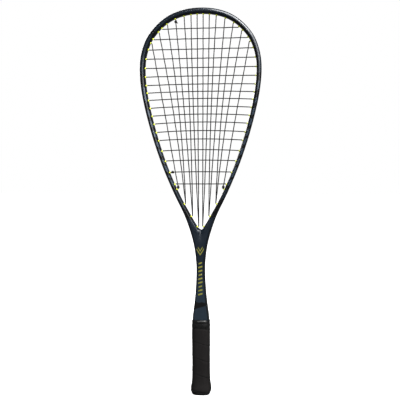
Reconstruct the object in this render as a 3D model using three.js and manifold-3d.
// A squash racket as an assembly of separate pieces.
// Millimetres. +Z runs along the shaft from the butt end (z = 0) to the tip of the head, +X is to the right
// and the hitting face looks towards -Y. Y = 0 is the plane of the strings.
import * as THREE from "three";
import { mergeVertices } from "three/addons/utils/BufferGeometryUtils.js";
import Module from "manifold-3d";

const wasm = await Module();
wasm.setup();

// ---------------------------------------------------------------- driving dimensions

// Right half of the frame's outer edge, from the tip of the head down to the top of the handle: x, z.
const OUTER_EDGE = [
  [0, 686], [30, 682.8], [56, 673.2], [77.5, 657], [94.5, 635.5], [104.2, 610], [107.5, 582], [104, 540],
  [89.6, 477], [68.8, 413], [46.2, 359.5], [26.3, 317.5], [12.5, 274], [7.6, 240], [7.1, 217], [9.4, 178],
  [13.7, 143], [14.2, 134],
];
// Right half of the hoop's inner edge, from the top down to the crotch of the throat: x, z.
const INNER_EDGE = [
  [0, 676.6], [28.5, 673.7], [51.6, 665.2], [70.8, 650.8], [86.7, 630.8], [95.4, 608], [98.6, 582],
  [95.4, 539.5], [81.3, 476], [60.8, 411.5], [37.2, 357], [18.4, 322.5], [9, 306.3], [3.8, 299], [0, 297.1],
];
const SPAN_STEPS = 3; // straight steps between two points of an outline

// Front-to-back depth of the frame at a height: z, depth.
const FRAME_DEPTH = [[130, 20.5], [150, 20.5], [215, 18], [300, 20], [420, 18.5], [686, 17.5]];
const EDGE_BEVEL = 2.6; // how far the rounded edges reach in from the outline
const EDGE_BEVEL_SHARE = 0.24; // and how much of the depth they take, at the front and at the back
const SHAFT_HALF_WIDTH = OUTER_EDGE[OUTER_EDGE.length - 1][0]; // at the top of the handle
const SHOULDER = 131; // below it the frame is a narrow tail inside the handle
const TAIL = { halfWidth: 10, halfDepth: 7, bottom: 24 };

// The string channel in the frame's outer side, and what lies in it. A level is a distance in from the
// outer edge.
const CHANNEL = { halfWidth: 3, floor: 4.6, lowest: 286 };
const STRIP = { halfWidth: 2.6, bottom: 4.3, top: 3.3, headEnd: 611, sideEnd: 609, lowest: 370.6 };
const HEAD_ROWS = 3; // the cross rows whose grommets belong to the head strip
const BUMPER = { halfWidth: 4.3, thickness: 1.3, lowest: 592 };
const GAP = 0.3; // clearance between pieces that touch
const OVERCUT = 3; // how far a cutting tool reaches past the surface it opens

const STRING_RADIUS = 0.62;
const STRING_SIDES = 5;
const STRING_LEVEL = 2.4; // the string's centre below the outer edge, where it runs in the channel
const WEAVE = 0.66; // how far a string's centre moves off the string plane at a crossing
const LANE = 0.7; // half the distance between two strings that share one grommet
const PASSING_LANE = 2.1; // where a string passes a shared grommet in the channel
const SINGLE_PASSING_LANE = 1.4; // where it passes a grommet that holds one string
const KNOT = { radius: 1.6, inside: 4.1 }; // and how far inside the hoop's inner edge a knot sits

// A grommet's barrel: radii, those of a barrel that holds two strings, how far its tip stands inside the
// hoop, and how deep it is rooted in its base strip.
const BARREL = {
  radius: 1.75, bore: 1.1, wide: 2.5, wideBore: 1.78, flatBore: 0.98, tip: 1.8, root: 0.6, sides: 6,
};
const BEND = 2.7; // a string leaves its barrel's line this far inside the hoop's inner edge
const THROAT_PLATE = 5; // half the height of a throat grommet's base plate

// Heights of the 18 cross strings where they meet the hoop.
const CROSS_HEIGHTS = [
  653, 634.5, 616, 599.5, 583, 567.5, 552.5, 539, 526, 512, 498, 484, 469, 454.5, 436, 418, 398, 377,
];
const CROSS_BOW = 2.8; // how far the lower crosses are pushed up in the middle
const FIRST_BOWED = 5; // rows above this one are straight
// The seven main strings of the left half, from the side to the middle: x at the top of the hoop, the throat
// grommet that it ends in, and how far it bows outwards half way.
const MAINS = [
  { top: 88.5, throat: 0, bow: 0 },
  { top: 74.8, throat: 1, bow: -3 },
  { top: 59.5, throat: 1, bow: -4.6 },
  { top: 44.5, throat: 2, bow: -1.1 },
  { top: 28.9, throat: 2, bow: -2.6 },
  { top: 16.5, throat: 3, bow: 2 },
  { top: 5.4, throat: 3, bow: 0 },
];
const THROAT_HEIGHTS = [368.2, 342, 320.1, 301.7]; // of the four grommets on each leg
const SHARED_TOP_MAIN = 3; // index of the main whose top grommet the cross string starts from
const SHARED_CROSS = 16; // index of the cross whose end grommet the cross string ties off through

// Handle: half width and half depth of the moulded core, and half width of the wrapped grip at heights.
const CORE = { halfWidth: 13.4, halfDepth: 11.1, corner: 5, bottom: 5, top: 128.6 };
const DEPTH_DROP = 2.2; // the handle is this much less deep than wide, measured from the middle
const GRIP = [
  [5.3, 16.7], [9, 17.5], [14, 17.2], [22, 16.1], [30, 15.1], [60, 14.9], [112, 15.3], [117.5, 15.2],
  [118.7, 14.4], [124, 14.4],
];
const CAP = [[0, 12.6], [1.6, 15.2], [4.9, 16.7], [5, 15.5], [10, 15.5], [20, 14.6], [24, 14]];
const CAP_FLOOR = 4.7;
const CAP_WALL = CAP.slice(3); // the part that the grip covers
const [CAP_TOP, CAP_TOP_WIDTH] = CAP[CAP.length - 1];
const [GRIP_TOP, GRIP_TOP_WIDTH] = GRIP[GRIP.length - 1];
const TAPE = { bottom: 119.6, step: 124.4, top: 128.4, thickness: 0.4 };
const COLLAR = [[119, 15.7], [121, 15.9], [131, 15.5], [134.4, 14.9]];
const COLLAR_BOTTOM = COLLAR[0][0];
const COLLAR_TOP = COLLAR[COLLAR.length - 1][0];
const COLLAR_LIP = 130.9; // above this height the collar closes round the frame
const BADGE = { halfWidth: 8.6, halfDepth: 6.4, thickness: 1 };
// A tack: its height, the cap's half width where its head lies flush, radii, and how near the middle its
// tip is.
const TACK = { height: 15, surface: 14.6, shaft: 0.8, head: 2, headThickness: 0.6, tip: 8.6, sides: 10 };
const ELLIPSE_SIDES = 24;
const SECTION_POINTS = 16;
const SECTION_POWER = 3.2; // 2 is an ellipse; more is squarer

// ---------------------------------------------------------------- solids

function solidOf(geometry) {
  const flat = geometry.clone();
  flat.deleteAttribute("normal");
  flat.deleteAttribute("uv");
  const merged = mergeVertices(flat, 1e-4);
  return new wasm.Manifold(
    new wasm.Mesh({
      numProp: 3,
      vertProperties: new Float32Array(merged.attributes.position.array),
      triVerts: new Uint32Array(merged.index.array),
    }),
  );
}

function geometryOf(solid) {
  const mesh = solid.getMesh();
  const geometry = new THREE.BufferGeometry();
  geometry.setAttribute("position", new THREE.BufferAttribute(mesh.vertProperties, 3));
  geometry.setIndex(new THREE.BufferAttribute(mesh.triVerts, 1));
  geometry.computeVertexNormals();
  return geometry;
}

// A prism of an outline drawn in x, z. It is extruded towards -Y and centred on the string plane.
function platePrism(points, halfWidth) {
  const shape = new THREE.Shape(points.map(([x, z]) => new THREE.Vector2(x, z)));
  const geometry = new THREE.ExtrudeGeometry(shape, { depth: 2 * halfWidth, bevelEnabled: false });
  return geometry.rotateX(Math.PI / 2).translate(0, halfWidth, 0);
}

// A round or oval rod between two places in the string plane: radius across the plane, and along Y.
function rod([x0, z0], [x1, z1], radius, depthRadius, sides) {
  const axis = new THREE.Vector3(x1 - x0, 0, z1 - z0);
  const length = axis.length();
  axis.normalize();
  const across = new THREE.Vector3(axis.z, 0, -axis.x);
  const away = new THREE.Vector3().crossVectors(across, axis);
  const geometry = new THREE.CylinderGeometry(1, 1, length, sides).scale(radius, 1, depthRadius);
  const middle = new THREE.Vector3((x0 + x1) / 2, 0, (z0 + z1) / 2);
  geometry.applyMatrix4(new THREE.Matrix4().makeBasis(across, axis, away).setPosition(middle));
  return geometry;
}

// A closed body through level, rounded-square sections: z, half width. The half depth is `drop` less.
function lofted(levels, drop) {
  const position = [];
  const index = [];
  const rounded = (value) => Math.sign(value) * Math.abs(value) ** (2 / SECTION_POWER);
  for (const [z, halfWidth] of levels) {
    for (let k = 0; k < SECTION_POINTS; k++) {
      const angle = (2 * Math.PI * k) / SECTION_POINTS;
      position.push(halfWidth * rounded(Math.cos(angle)), (halfWidth - drop) * rounded(Math.sin(angle)), z);
    }
  }
  for (let level = 0; level + 1 < levels.length; level++) {
    for (let k = 0; k < SECTION_POINTS; k++) {
      const a = level * SECTION_POINTS + k;
      const b = level * SECTION_POINTS + ((k + 1) % SECTION_POINTS);
      index.push(a, b, b + SECTION_POINTS, a, b + SECTION_POINTS, a + SECTION_POINTS);
    }
  }
  const last = (levels.length - 1) * SECTION_POINTS;
  for (let k = 1; k + 1 < SECTION_POINTS; k++) {
    index.push(0, k + 1, k);
    index.push(last, last + k, last + k + 1);
  }
  const geometry = new THREE.BufferGeometry();
  geometry.setAttribute("position", new THREE.Float32BufferAttribute(position, 3));
  geometry.setIndex(index);
  return geometry;
}

// ---------------------------------------------------------------- outlines

const curveThrough = (points, closed) =>
  new THREE.CatmullRomCurve3(points.map(([x, z]) => new THREE.Vector3(x, z, 0)), closed, "centripetal");
const mirrored = (points) => points.map(([x, z]) => [-x, z]).reverse();

// The whole outer edge, from the left of the handle over the head to the right.
const outerPoints = [...mirrored(OUTER_EDGE.slice(1)), ...OUTER_EDGE];
const outerEdge = curveThrough(outerPoints, false)
  .getPoints(SPAN_STEPS * (outerPoints.length - 1))
  .map((p) => [p.x, p.y]);
// The whole inner edge, round the hoop from the top by way of the right side.
const innerPoints = [...INNER_EDGE, ...mirrored(INNER_EDGE.slice(1, -1))];
const innerEdge = curveThrough(innerPoints, true)
  .getPoints(SPAN_STEPS * innerPoints.length)
  .slice(0, -1)
  .map((p) => [p.x, p.y]);

// The outward direction of the outer edge at each of its points.
const outerNormals = outerEdge.map((_, k) => {
  const [x0, z0] = outerEdge[Math.max(k - 1, 0)];
  const [x1, z1] = outerEdge[Math.min(k + 1, outerEdge.length - 1)];
  const length = Math.hypot(x1 - x0, z1 - z0);
  return [(z0 - z1) / length, (x1 - x0) / length];
});

// A place along the outer edge: t counts its points, and level is the distance in from the edge.
function edgePlace(t, level) {
  const k = Math.min(Math.floor(t), outerEdge.length - 2);
  const mix = (list, axis) => THREE.MathUtils.lerp(list[k][axis], list[k + 1][axis], t - k);
  return [0, 1].map((axis) => mix(outerEdge, axis) - level * mix(outerNormals, axis));
}

// Where the outer edge passes a height on one side (-1 left, 1 right), as a t for edgePlace.
function edgeAtHeight(z, side) {
  for (let k = 0; k + 1 < outerEdge.length; k++) {
    const [x0, z0] = outerEdge[k];
    const [x1, z1] = outerEdge[k + 1];
    if ((z0 - z) * (z1 - z) <= 0 && side * (x0 + x1) > 0) return k + (z - z0) / (z1 - z0);
  }
  throw new Error("the outer edge doesn't reach height " + z);
}

// A strip along the outer edge between two places, from one level to another.
function edgeStrip(from, to, bottom, top, halfWidth) {
  const stations = [from];
  for (let k = Math.floor(from) + 1; k < to; k++) stations.push(k);
  stations.push(to);
  const outline = stations.map((t) => edgePlace(t, top));
  const back = stations.map((t) => edgePlace(t, bottom)).reverse();
  return platePrism([...outline, ...back], halfWidth);
}

// The x of the inner edge at a height, on the right side.
function innerAtHeight(z) {
  for (let k = 0; k + 1 < innerEdge.length; k++) {
    const [x0, z0] = innerEdge[k];
    const [x1, z1] = innerEdge[k + 1];
    if (z0 >= z && z1 <= z) return x0 + ((x1 - x0) * (z - z0)) / (z1 - z0);
  }
  throw new Error("the inner edge doesn't reach height " + z);
}

// The z of the inner edge above a place, near the top of the hoop.
function innerTopAt(x) {
  for (let k = 0; k + 1 < innerEdge.length; k++) {
    const [x0, z0] = innerEdge[k];
    const [x1, z1] = innerEdge[k + 1];
    if (x0 <= x && x1 >= x) return z0 + ((z1 - z0) * (x - x0)) / (x1 - x0);
  }
  throw new Error("the inner edge doesn't reach x " + x);
}

function depthAt(z) {
  const next = Math.max(FRAME_DEPTH.findIndex(([height]) => height >= z), 1);
  const [z0, depth0] = FRAME_DEPTH[next - 1];
  const [z1, depth1] = FRAME_DEPTH[next];
  return THREE.MathUtils.mapLinear(z, z0, z1, depth0, depth1);
}

// ---------------------------------------------------------------- string holes

// A hole through the frame from a place on the inner edge, square to the outer edge.
// `out` points outwards, `t` is the place along the outer edge, and a wide hole holds two strings.
function holeAt(x, z, wide) {
  let best = { distance: Infinity };
  for (let k = 0; k + 1 < outerEdge.length; k++) {
    const [x0, z0] = outerEdge[k];
    const [x1, z1] = outerEdge[k + 1];
    const [dx, dz] = [x1 - x0, z1 - z0];
    const share = ((x - x0) * dx + (z - z0) * dz) / (dx * dx + dz * dz);
    const clamped = THREE.MathUtils.clamp(share, 0, 1);
    const foot = [x0 + clamped * dx, z0 + clamped * dz];
    const distance = Math.hypot(foot[0] - x, foot[1] - z);
    if (distance < best.distance) best = { distance, t: k + clamped, foot };
  }
  const out = [(best.foot[0] - x) / best.distance, (best.foot[1] - z) / best.distance];
  return { inner: [x, z], foot: best.foot, out, t: best.t, wide };
}

const mirroredHole = (hole) => ({
  inner: [-hole.inner[0], hole.inner[1]],
  foot: [-hole.foot[0], hole.foot[1]],
  out: [-hole.out[0], hole.out[1]],
  t: outerEdge.length - 1 - hole.t,
  wide: hole.wide,
});

// A place on a hole's line: beyond the inner edge (negative is inside the hoop), or in from the foot.
const fromInner = (hole, distance) => [
  hole.inner[0] + distance * hole.out[0],
  hole.inner[1] + distance * hole.out[1],
];
const fromFoot = (hole, level) => [hole.foot[0] - level * hole.out[0], hole.foot[1] - level * hole.out[1]];

// Right-hand holes, then their mirror images, as { right, left } lists.
function bothSides(holes) {
  return { right: holes, left: holes.map(mirroredHole) };
}
const crossHoles = bothSides(CROSS_HEIGHTS.map((z, i) => holeAt(innerAtHeight(z), z, i === SHARED_CROSS)));
const mainHoles = bothSides(
  MAINS.map(({ top }, j) => holeAt(top, innerTopAt(top), j === SHARED_TOP_MAIN)),
);
const throatHoles = bothSides(THROAT_HEIGHTS.map((z) => holeAt(innerAtHeight(z), z, true)));
const everyHole = [crossHoles, mainHoles, throatHoles].flatMap(({ left, right }) => [...left, ...right]);

// A grommet's barrel through its hole, with one end in the base strip and the other inside the hoop.
function barrelOf(hole, clearance) {
  const depthRadius = (hole.wide ? BARREL.wide : BARREL.radius) + clearance;
  const start = fromInner(hole, -BARREL.tip - 2 * clearance);
  const end = fromFoot(hole, STRIP.bottom - BARREL.root);
  return solidOf(rod(start, end, BARREL.radius + clearance, depthRadius, BARREL.sides));
}

function boreOf(hole) {
  const radius = hole.wide ? BARREL.flatBore : BARREL.bore;
  const depthRadius = hole.wide ? BARREL.wideBore : BARREL.bore;
  const start = fromInner(hole, -BARREL.tip - OVERCUT);
  const end = fromFoot(hole, STRIP.top - OVERCUT);
  return solidOf(rod(start, end, radius, depthRadius, BARREL.sides));
}

// ---------------------------------------------------------------- frame and what lies in its edge

function frameSolid() {
  const foot = [[SHAFT_HALF_WIDTH, SHOULDER], [-SHAFT_HALF_WIDTH, SHOULDER]];
  const outline = [...outerEdge, ...foot].reverse();
  const shape = new THREE.Shape(outline.map(([x, z]) => new THREE.Vector2(x, z)));
  shape.holes.push(new THREE.Path(innerEdge.map(([x, z]) => new THREE.Vector2(x, z))));
  // The depth is 1 here; each vertex then takes the frame's depth at its own height.
  const geometry = new THREE.ExtrudeGeometry(shape, {
    depth: 1 - 2 * EDGE_BEVEL_SHARE,
    bevelThickness: EDGE_BEVEL_SHARE,
    bevelSize: EDGE_BEVEL,
    bevelOffset: -EDGE_BEVEL,
    bevelSegments: 2,
  });
  geometry.translate(0, 0, EDGE_BEVEL_SHARE - 0.5).rotateX(Math.PI / 2);
  const place = geometry.attributes.position;
  for (let k = 0; k < place.count; k++) place.setY(k, place.getY(k) * depthAt(place.getZ(k)));

  const tailLength = SHOULDER + EDGE_BEVEL - TAIL.bottom;
  const tail = new THREE.BoxGeometry(2 * TAIL.halfWidth, 2 * TAIL.halfDepth, tailLength);
  let solid = solidOf(geometry).add(solidOf(tail.translate(0, 0, TAIL.bottom + tailLength / 2)));
  const [left, right] = [-1, 1].map((side) => edgeAtHeight(CHANNEL.lowest, side));
  solid = solid.subtract(solidOf(edgeStrip(left, right, CHANNEL.floor, -OVERCUT, CHANNEL.halfWidth)));
  const [bumperLeft, bumperRight] = [-1, 1].map((side) => edgeAtHeight(BUMPER.lowest - GAP, side));
  const seat = BUMPER.thickness + GAP;
  solid = solid.subtract(
    solidOf(edgeStrip(bumperLeft, bumperRight, seat, -OVERCUT, BUMPER.halfWidth + GAP)),
  );
  for (const hole of everyHole) solid = solid.subtract(barrelOf(hole, GAP));
  return solid;
}

function bumperSolid() {
  const [left, right] = [-1, 1].map((side) => edgeAtHeight(BUMPER.lowest, side));
  return solidOf(edgeStrip(left, right, BUMPER.thickness, 0, BUMPER.halfWidth));
}

// A base strip with the barrels that grow out of it, bored for the strings.
function grommetSolid(from, to, holes) {
  let solid = solidOf(edgeStrip(from, to, STRIP.bottom, STRIP.top, STRIP.halfWidth));
  for (const hole of holes) solid = solid.add(barrelOf(hole, 0));
  for (const hole of holes) solid = solid.subtract(boreOf(hole));
  return solid;
}

function headStripSolid() {
  const [left, right] = [-1, 1].map((side) => edgeAtHeight(STRIP.headEnd, side));
  const crosses = [crossHoles.left, crossHoles.right].flatMap((holes) => holes.slice(0, HEAD_ROWS));
  return grommetSolid(left, right, [...mainHoles.left, ...mainHoles.right, ...crosses]);
}

function sideStripSolid(side, holes) {
  const ends = [STRIP.lowest, STRIP.sideEnd].map((z) => edgeAtHeight(z, side)).sort((a, b) => a - b);
  return grommetSolid(ends[0], ends[1], holes.slice(HEAD_ROWS));
}

function throatGrommetSolid(side, hole) {
  const [low, high] = [-THROAT_PLATE, THROAT_PLATE].map((dz) => edgeAtHeight(hole.foot[1] + dz, side));
  return grommetSolid(Math.min(low, high), Math.max(low, high), [hole]);
}

// ---------------------------------------------------------------- strings

// A string as a curve that is straight between its points, with a mitred turn at each of them.
class StringRoute extends THREE.Curve {
  constructor(points) {
    super();
    this.points = points.map(([x, y, z]) => new THREE.Vector3(x, y, z));
  }
  getPointAt(u) {
    return this.points[Math.round(u * (this.points.length - 1))];
  }
  getTangentAt(u) {
    const k = Math.round(u * (this.points.length - 1));
    const at = this.points[k];
    const before = this.points[k - 1] ?? at;
    const after = this.points[k + 1] ?? at;
    const arriving = at.clone().sub(before).normalize();
    return arriving.add(after.clone().sub(at).normalize()).normalize();
  }
}

function stringGeometry(points) {
  const section = new THREE.Shape(
    Array.from({ length: STRING_SIDES }, (_, k) => {
      const angle = (2 * Math.PI * k) / STRING_SIDES;
      return new THREE.Vector2(STRING_RADIUS * Math.cos(angle), STRING_RADIUS * Math.sin(angle));
    }),
  );
  const extrudePath = new StringRoute(points);
  return new THREE.ExtrudeGeometry(section, { steps: points.length - 1, extrudePath, bevelEnabled: false });
}

// Which side of the string plane a main takes at a crossing: 1 is behind. The cross takes the other side.
const weaveSide = (cross, main) => ((cross + main) % 2 === 1 ? 1 : -1);

// The x of a left-hand main at a height.
function mainX(main, z) {
  const { bow, throat } = MAINS[main];
  const top = fromInner(mainHoles.left[main], -BEND);
  const bottom = fromInner(throatHoles.left[throat], -BEND);
  const share = (z - bottom[1]) / (top[1] - bottom[1]);
  return THREE.MathUtils.lerp(bottom[0], top[0], share) - bow * 4 * share * (1 - share);
}

// The height of a cross string above a place: the lower rows are pushed up in the middle.
function crossZ(cross, x) {
  const row = cross + 1 - FIRST_BOWED;
  const rows = CROSS_HEIGHTS.length - FIRST_BOWED;
  const bow = row > 0 ? CROSS_BOW * Math.sin((Math.PI * row) / rows) : 0;
  const halfWidth = crossHoles.right[cross].inner[0];
  return CROSS_HEIGHTS[cross] + bow * (1 - (x / halfWidth) ** 2);
}

// Every crossing, as crossings[cross][main], with mains 0 to 13 counted from the left.
const mainCount = 2 * MAINS.length;
const crossings = CROSS_HEIGHTS.map((height, cross) =>
  Array.from({ length: mainCount }, (_, main) => {
    const half = Math.min(main, mainCount - 1 - main);
    if (mainHoles.left[half].inner[1] < height + BEND) return null;
    const x = mainX(half, height) * (main === half ? 1 : -1);
    return [x, crossZ(cross, x)];
  }),
);

// The route in the channel past a list of places { t, y }, with a point at each corner of the outer edge.
function channelRoute(stations) {
  const route = [];
  const clear = 0.35; // of a step of the outer edge: corners closer than this to a station are left out
  stations.forEach(({ t, y }, k) => {
    route.push([...edgePlace(t, STRING_LEVEL), y]);
    const next = stations[k + 1];
    if (!next) return;
    const step = Math.sign(next.t - t);
    const first = step > 0 ? Math.floor(t) + 1 : Math.ceil(t) - 1;
    for (let corner = first; step * (next.t - corner) > clear; corner += step) {
      if (step * (corner - t) < clear) continue;
      const share = (corner - t) / (next.t - t);
      route.push([...edgePlace(corner, STRING_LEVEL), THREE.MathUtils.lerp(y, next.y, share)]);
    }
  });
  return route.map(([x, z, y]) => [x, y, z]);
}

const bendPoint = (hole, y) => {
  const [x, z] = fromInner(hole, -BEND);
  return [x, y, z];
};

// A left-hand main from its throat grommet to the top of the hoop.
function mainRun(main) {
  const lastCross = CROSS_HEIGHTS.length - 1;
  const throatLane = LANE * weaveSide(lastCross, main);
  const topLane = main === SHARED_TOP_MAIN ? -LANE : 0;
  const run = [bendPoint(throatHoles.left[MAINS[main].throat], throatLane)];
  for (let cross = lastCross; cross >= 0; cross--) {
    const place = crossings[cross][main];
    if (place) run.push([place[0], WEAVE * weaveSide(cross, main), place[1]]);
  }
  return [...run, bendPoint(mainHoles.left[main], topLane)];
}

// The mains are one string. Its left half starts at the tie-off beside the highest throat grommet and ends
// at the top of the innermost main; the right half is the same with x and y changed over.
function mainStringRoute() {
  const throat = throatHoles.left.map(({ t }) => t);
  const top = mainHoles.left.map(({ t }) => t);
  const secondCross = crossHoles.left[1].t;
  const route = [knotPlace(throatHoles.left[0], -1), bendPoint(throatHoles.left[0], -LANE)];
  const channel = (...stations) => route.push(...channelRoute(stations.map(([t, y]) => ({ t, y }))));
  const up = (main) => route.push(...mainRun(main));
  const down = (main) => route.push(...mainRun(main).reverse());

  channel([throat[0], -LANE], [throat[1], -LANE]);
  up(1);
  channel([top[1], 0], [secondCross, -SINGLE_PASSING_LANE], [top[0], 0]);
  down(0);
  channel([throat[0], LANE], [throat[1], PASSING_LANE], [throat[2], -LANE]);
  up(3);
  channel([top[3], -LANE], [top[2], 0]);
  down(2);
  channel([throat[1], LANE], [throat[2], -PASSING_LANE], [throat[3], -LANE]);
  up(5);
  channel([top[5], 0], [top[4], 0]);
  down(4);
  channel([throat[2], LANE], [throat[3], LANE]);
  up(6);
  channel([top[6], 0], [(outerEdge.length - 1) / 2, 0]);
  const rightHalf = route.slice(0, -1).map(([x, y, z]) => [-x, -y, z]);
  return [...route, ...rightHalf.reverse()];
}

// The crosses are a second string. It starts at a shared main grommet, runs row by row down the head and
// ties off through the grommet of the last row but one.
function crossStringRoute() {
  const startHole = mainHoles.left[SHARED_TOP_MAIN];
  const route = [knotPlace(startHole, 1), bendPoint(startHole, LANE)];
  let stations = [
    { t: startHole.t, y: LANE },
    { t: mainHoles.left[SHARED_TOP_MAIN - 1].t, y: SINGLE_PASSING_LANE },
  ];
  CROSS_HEIGHTS.forEach((_, cross) => {
    const leftLane = cross === SHARED_CROSS ? -LANE : 0;
    const holes = [crossHoles.left[cross], crossHoles.right[cross]];
    const ends = [bendPoint(holes[0], leftLane), bendPoint(holes[1], 0)];
    const woven = crossings[cross]
      .map((place, main) => place && [place[0], -WEAVE * weaveSide(cross, main), place[1]])
      .filter(Boolean);
    const rightwards = cross % 2 === 0;
    const entry = rightwards ? { t: holes[0].t, y: leftLane } : { t: holes[1].t, y: 0 };
    route.push(...channelRoute([...stations, entry]));
    const run = [ends[0], ...woven, ends[1]];
    route.push(...(rightwards ? run : run.reverse()));
    stations = [{ t: holes[rightwards ? 1 : 0].t, y: 0 }];
    // A main's hole lies between the first two rows on the right, and between the next two on the left.
    if (cross === 0) stations.push({ t: mainHoles.right[1].t, y: -SINGLE_PASSING_LANE });
    if (cross === 1) stations.push({ t: mainHoles.left[0].t, y: SINGLE_PASSING_LANE });
  });
  const tieHole = crossHoles.left[SHARED_CROSS];
  route.push(...channelRoute([...stations, { t: tieHole.t, y: LANE }]));
  return [...route, bendPoint(tieHole, LANE), knotPlace(tieHole, 1)];
}

// The centre of a tie-off knot: beside the mouth of a grommet, on one side of the string plane.
function knotPlace(hole, side) {
  const [x, z] = fromInner(hole, -KNOT.inside);
  return [x, side * (LANE + KNOT.radius), z];
}

function stringSolid(route) {
  let solid = solidOf(stringGeometry(route));
  for (const end of [route[0], route[route.length - 1]]) {
    solid = solid.add(solidOf(new THREE.IcosahedronGeometry(KNOT.radius, 0).translate(...end)));
  }
  return solid;
}

// ---------------------------------------------------------------- handle

// One moulded half of the handle core, behind (side 1) or in front (side -1) of the frame's tail.
function coreHalfSolid(side) {
  const { halfWidth, halfDepth, corner, bottom, top } = CORE;
  const split = GAP / 2;
  const [tailX, tailY] = [TAIL.halfWidth + GAP, TAIL.halfDepth + GAP];
  const half = [
    [halfWidth, split], [halfWidth, halfDepth - corner], [halfWidth - corner, halfDepth],
    [corner - halfWidth, halfDepth], [-halfWidth, halfDepth - corner], [-halfWidth, split],
    [-tailX, split], [-tailX, tailY], [tailX, tailY], [tailX, split],
  ];
  const shape = new THREE.Shape(half.map(([x, y]) => new THREE.Vector2(x, side * y)));
  const geometry = new THREE.ExtrudeGeometry(shape, { depth: top - bottom, bevelEnabled: false });
  return solidOf(geometry.translate(0, 0, bottom)).subtract(tackSolid(side, GAP));
}

// An upright prism with its four corners cut off at 45 degrees, between two heights.
function bevelledPrism(x, y, cut, bottom, top) {
  const outline = [
    [x, cut - y], [x, y - cut], [x - cut, y], [cut - x, y],
    [-x, y - cut], [-x, cut - y], [cut - x, -y], [x - cut, -y],
  ];
  const shape = new THREE.Shape(outline.map(([u, v]) => new THREE.Vector2(u, v)));
  const geometry = new THREE.ExtrudeGeometry(shape, { depth: top - bottom, bevelEnabled: false });
  return solidOf(geometry.translate(0, 0, bottom));
}

// The core's own outline, grown by a margin, between two heights.
function corePrism(margin, bottom, top) {
  const cut = CORE.corner + margin * (2 - Math.SQRT2);
  return bevelledPrism(CORE.halfWidth + margin, CORE.halfDepth + margin, cut, bottom, top);
}

const grown = (levels, margin) => levels.map(([z, halfWidth]) => [z, halfWidth + margin]);
const ellipseRod = (halfWidth, halfDepth, bottom, top) =>
  new THREE.CylinderGeometry(1, 1, top - bottom, ELLIPSE_SIDES)
    .rotateX(Math.PI / 2)
    .scale(halfWidth, halfDepth, 1)
    .translate(0, 0, (top + bottom) / 2);

// A headed tack through the cap's wall into the core, from behind (side 1) or from the front (side -1).
function tackSolid(side, clearance) {
  const wall = TACK.surface - DEPTH_DROP;
  const along = (radius, from, to) =>
    new THREE.CylinderGeometry(
      radius + clearance, radius + clearance, to - from + 2 * clearance, TACK.sides,
    ).translate(0, side * ((from + to) / 2), TACK.height);
  const shaft = solidOf(along(TACK.shaft, TACK.tip, wall));
  return shaft.add(solidOf(along(TACK.head, wall - TACK.headThickness, wall)));
}

function capSolid() {
  let solid = solidOf(lofted(CAP, DEPTH_DROP));
  solid = solid.subtract(corePrism(GAP, CAP_FLOOR, CAP_TOP + OVERCUT));
  const [seatWidth, seatDepth] = [BADGE.halfWidth + GAP, BADGE.halfDepth + GAP];
  solid = solid.subtract(solidOf(ellipseRod(seatWidth, seatDepth, -OVERCUT, BADGE.thickness + GAP)));
  for (const side of [-1, 1]) solid = solid.subtract(tackSolid(side, GAP));
  return solid;
}

function gripSolid() {
  let solid = solidOf(lofted(GRIP, DEPTH_DROP));
  solid = solid.subtract(corePrism(GAP, 0, GRIP_TOP + OVERCUT));
  const lowest = [CAP_WALL[0][0] - 1, CAP_WALL[0][1]];
  const highest = [CAP_TOP + GAP, CAP_TOP_WIDTH];
  const under = grown([lowest, ...CAP_WALL.slice(1), highest], GAP);
  return solid.subtract(solidOf(lofted(under, DEPTH_DROP)));
}

function tapeSolid() {
  const { bottom, step, top, thickness } = TAPE;
  const onGrip = GRIP_TOP_WIDTH + GAP;
  const onCore = CORE.halfWidth + GAP;
  const outer = [
    [bottom, onGrip + thickness], [step + thickness, onGrip + thickness],
    [step + 2 * thickness, onCore + thickness], [top, onCore + thickness],
  ];
  const inner = solidOf(lofted([[bottom - OVERCUT, onGrip], [step, onGrip]], DEPTH_DROP));
  const core = corePrism(GAP, bottom, top + OVERCUT);
  return solidOf(lofted(outer, DEPTH_DROP)).subtract(inner).subtract(core);
}

function collarSolid() {
  const bore = GRIP_TOP_WIDTH + 2 * GAP + TAPE.thickness;
  const mouth = solidOf(lofted([[COLLAR_BOTTOM - 1, bore], [COLLAR_LIP, bore]], DEPTH_DROP));
  const holeHalfWidth = SHAFT_HALF_WIDTH + GAP;
  const holeHalfDepth = FRAME_DEPTH[0][1] / 2 + GAP;
  const shaftHole = bevelledPrism(
    holeHalfWidth, holeHalfDepth, EDGE_BEVEL, COLLAR_LIP - 1, COLLAR_TOP + OVERCUT,
  );
  return solidOf(lofted(COLLAR, DEPTH_DROP)).subtract(mouth).subtract(shaftHole);
}

// ---------------------------------------------------------------- assembly

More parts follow.
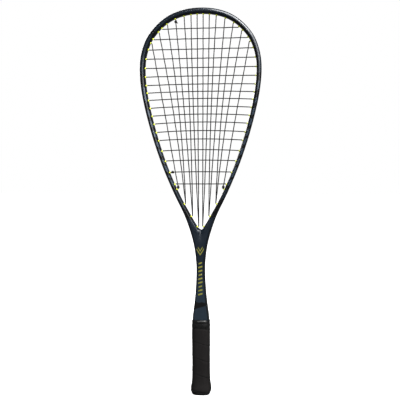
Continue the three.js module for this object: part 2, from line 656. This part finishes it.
const lacquer = new THREE.MeshStandardMaterial({ color: 0x28323d, roughness: 0.25, metalness: 0.3 });
const blackNylon = new THREE.MeshStandardMaterial({ color: 0x141516, roughness: 0.5, metalness: 0 });
const yellowNylon = new THREE.MeshStandardMaterial({ color: 0xeef046, roughness: 0.45, metalness: 0 });
const stringGut = new THREE.MeshStandardMaterial({ color: 0x2b2b2d, roughness: 0.4, metalness: 0 });
const foam = new THREE.MeshStandardMaterial({ color: 0xb9b4a6, roughness: 0.85, metalness: 0 });
const gripSkin = new THREE.MeshStandardMaterial({ color: 0x232121, roughness: 0.8, metalness: 0 });
const rubber = new THREE.MeshStandardMaterial({ color: 0x161616, roughness: 0.55, metalness: 0 });
const tapeVinyl = new THREE.MeshStandardMaterial({ color: 0x1c1c1e, roughness: 0.4, metalness: 0 });
const steel = new THREE.MeshStandardMaterial({ color: 0xb4b7ba, roughness: 0.35, metalness: 1 });
const badgeFace = new THREE.MeshStandardMaterial({ color: 0x8a8d30, roughness: 0.4, metalness: 0 });

const racket = new THREE.Group();

function piece(name, solid, material) {
  const mesh = new THREE.Mesh(geometryOf(solid), material);
  mesh.name = name;
  racket.add(mesh);
}

piece("frame", frameSolid(), lacquer);
piece("bumper_guard", bumperSolid(), blackNylon);
piece("grommet_strip_head", headStripSolid(), yellowNylon);
piece("grommet_strip_left", sideStripSolid(-1, crossHoles.left), yellowNylon);
piece("grommet_strip_right", sideStripSolid(1, crossHoles.right), yellowNylon);
THROAT_HEIGHTS.forEach((_, k) => {
  piece("throat_grommet_left_" + (k + 1), throatGrommetSolid(-1, throatHoles.left[k]), yellowNylon);
  piece("throat_grommet_right_" + (k + 1), throatGrommetSolid(1, throatHoles.right[k]), yellowNylon);
});
piece("main_string", stringSolid(mainStringRoute()), stringGut);
piece("cross_string", stringSolid(crossStringRoute()), stringGut);
piece("handle_core_front", coreHalfSolid(-1), foam);
piece("handle_core_back", coreHalfSolid(1), foam);
piece("butt_cap", capSolid(), rubber);
piece("butt_badge", solidOf(ellipseRod(BADGE.halfWidth, BADGE.halfDepth, 0, BADGE.thickness)), badgeFace);
piece("cap_tack_front", tackSolid(-1, 0), steel);
piece("cap_tack_back", tackSolid(1, 0), steel);
piece("grip_wrap", gripSolid(), gripSkin);
piece("finishing_tape", tapeSolid(), tapeVinyl);
piece("rubber_collar", collarSolid(), rubber);

export default racket;
